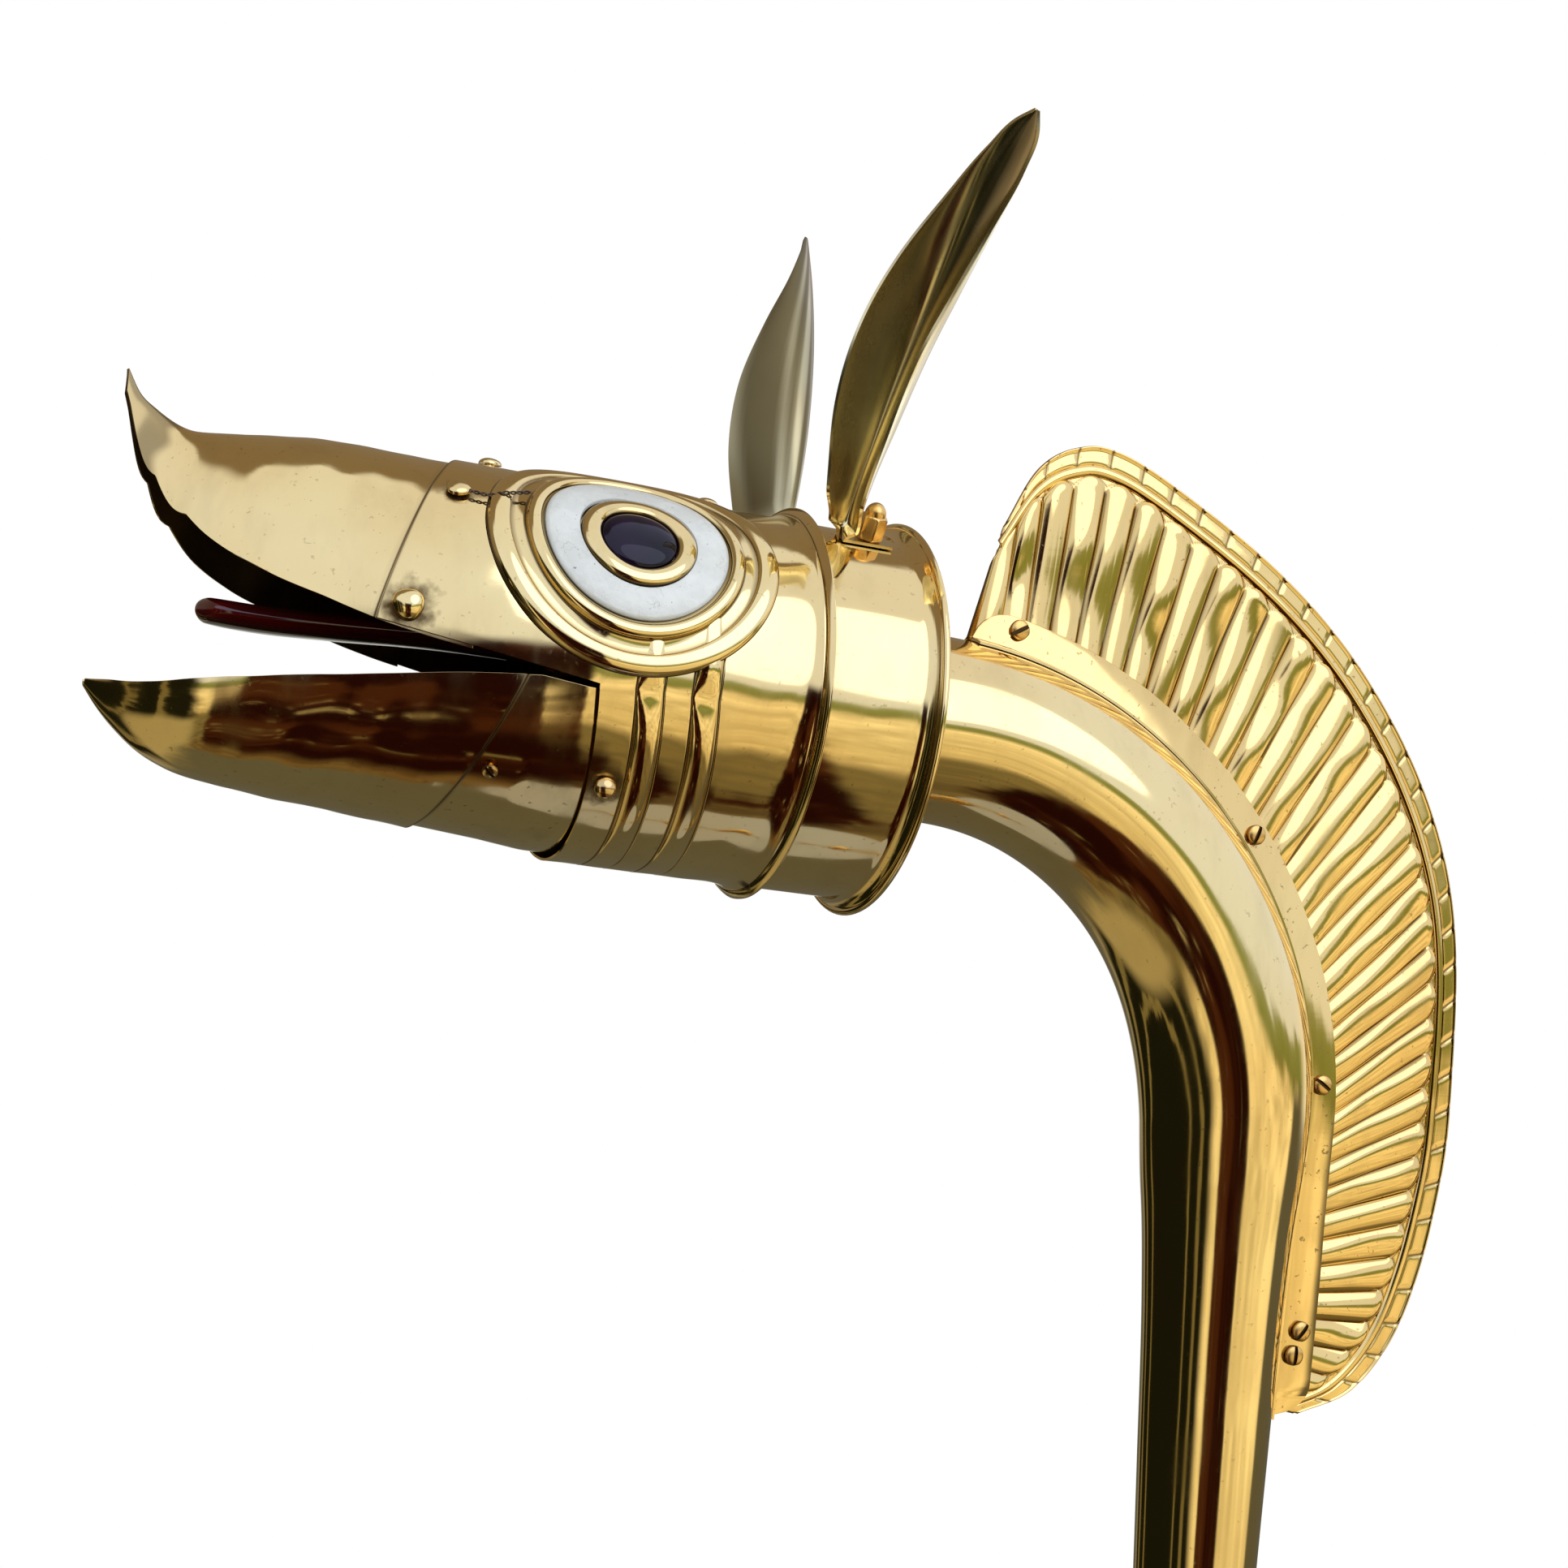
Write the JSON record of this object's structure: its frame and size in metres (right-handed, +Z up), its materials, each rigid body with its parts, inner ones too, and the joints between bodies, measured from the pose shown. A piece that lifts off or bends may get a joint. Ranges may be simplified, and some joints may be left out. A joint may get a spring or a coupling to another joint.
{
  "type": "carnyx",
  "caption": "Upright brass war horn with a boar-like animal head, hinged lower jaw, tongue and leaf ears, a reeded crest along its bent neck and a long tube down to a cupped mouthpiece.",
  "frame": {"origin": "on the tube's axis where the player's hands hold it, one metre below the head's axis", "axes": "+Z up along the straight tube, -X the way the head looks, the animal's left side towards -Y, symmetry plane Y = 0"},
  "size_m": [0.6086, 0.2478, 1.5405],
  "materials": {
    "polished_brass": "polished sheet with light scratches",
    "gold_brass": "polished, warmer golden brass",
    "fastener_brass": "darker orange brass, tarnished",
    "enamel": "pale blue-grey enamel with fine flecks",
    "stone": "near-black violet polished stone",
    "lacquered_wood": "dark red gloss lacquer"
  },
  "bodies": {
    "horn": {"back_plate": "polished_brass", "crest": "gold_brass", "crest_flange_left": "gold_brass", "crest_flange_right": "gold_brass", "crest_nut_1": "fastener_brass", "crest_nut_2": "fastener_brass", "crest_nut_3": "fastener_brass", "crest_nut_4": "fastener_brass", "crest_nut_5": "fastener_brass", "crest_screw_1": "fastener_brass", "crest_screw_2": "fastener_brass", "crest_screw_3": "fastener_brass", "crest_screw_4": "fastener_brass", "crest_screw_5": "fastener_brass", "crown_rivet_front": "polished_brass", "crown_rivet_rear": "polished_brass", "ear_nut_left": "fastener_brass", "ear_nut_right": "fastener_brass", "ear_stud_left": "fastener_brass", "ear_stud_right": "fastener_brass", "eye_bezel_left": "polished_brass", "eye_bezel_right": "polished_brass", "eye_enamel_left": "enamel", "eye_enamel_right": "enamel", "eye_plate_left": "polished_brass", "eye_plate_right": "polished_brass", "eye_stone_left": "stone", "eye_stone_right": "stone", "head_shell": "polished_brass", "jaw_pivot_left": "fastener_brass", "jaw_pivot_right": "fastener_brass", "lower_ferrule": "gold_brass", "lower_tube": "polished_brass", "middle_tube": "polished_brass", "mouthpiece_receiver": "gold_brass", "neck_bend": "polished_brass", "neck_collar": "polished_brass", "neck_front": "polished_brass", "neck_tube": "polished_brass", "snout": "polished_brass", "snout_rivet_high_left": "polished_brass", "snout_rivet_high_right": "polished_brass", "snout_rivet_low_left": "polished_brass", "snout_rivet_low_right": "polished_brass", "tongue_pin": "polished_brass", "upper_ferrule": "gold_brass"},
    "lower_jaw": {"jaw_front": "polished_brass", "jaw_rear": "polished_brass", "jaw_screw_left": "polished_brass", "jaw_screw_right": "polished_brass"},
    "tongue": {"tongue": "lacquered_wood"},
    "ear_left": {"ear_left": "polished_brass"},
    "ear_right": {"ear_right": "polished_brass"},
    "mouthpiece": {"mouthpiece": "gold_brass"}
  },
  "joints": [
    {"name": "jaw_hinge", "type": "hinge", "parent": "horn", "child": "lower_jaw", "pos_m": [-0.30762, 0, 0.96076], "axis": [0, 1, 0], "range_deg": [-8, 4]},
    {"name": "tongue_hinge", "type": "hinge", "parent": "horn", "child": "tongue", "pos_m": [-0.28982, 0, 1.01205], "axis": [0, 1, 0], "range_deg": [-6, 6]},
    {"name": "ear_left_swivel", "type": "hinge", "parent": "horn", "child": "ear_left", "pos_m": [-0.19781, -0.03301, 1.06883], "axis": [0.0486, -0.4384, 0.8975], "range_deg": [-20, 20]},
    {"name": "ear_right_swivel", "type": "hinge", "parent": "horn", "child": "ear_right", "pos_m": [-0.19781, 0.03301, 1.06883], "axis": [0.0486, 0.4384, 0.8975], "range_deg": [-20, 20]},
    {"name": "mouthpiece_slide", "type": "slide", "parent": "horn", "child": "mouthpiece", "axis": [0, 0, -1], "range_m": [0, 0.015]}
  ]
}
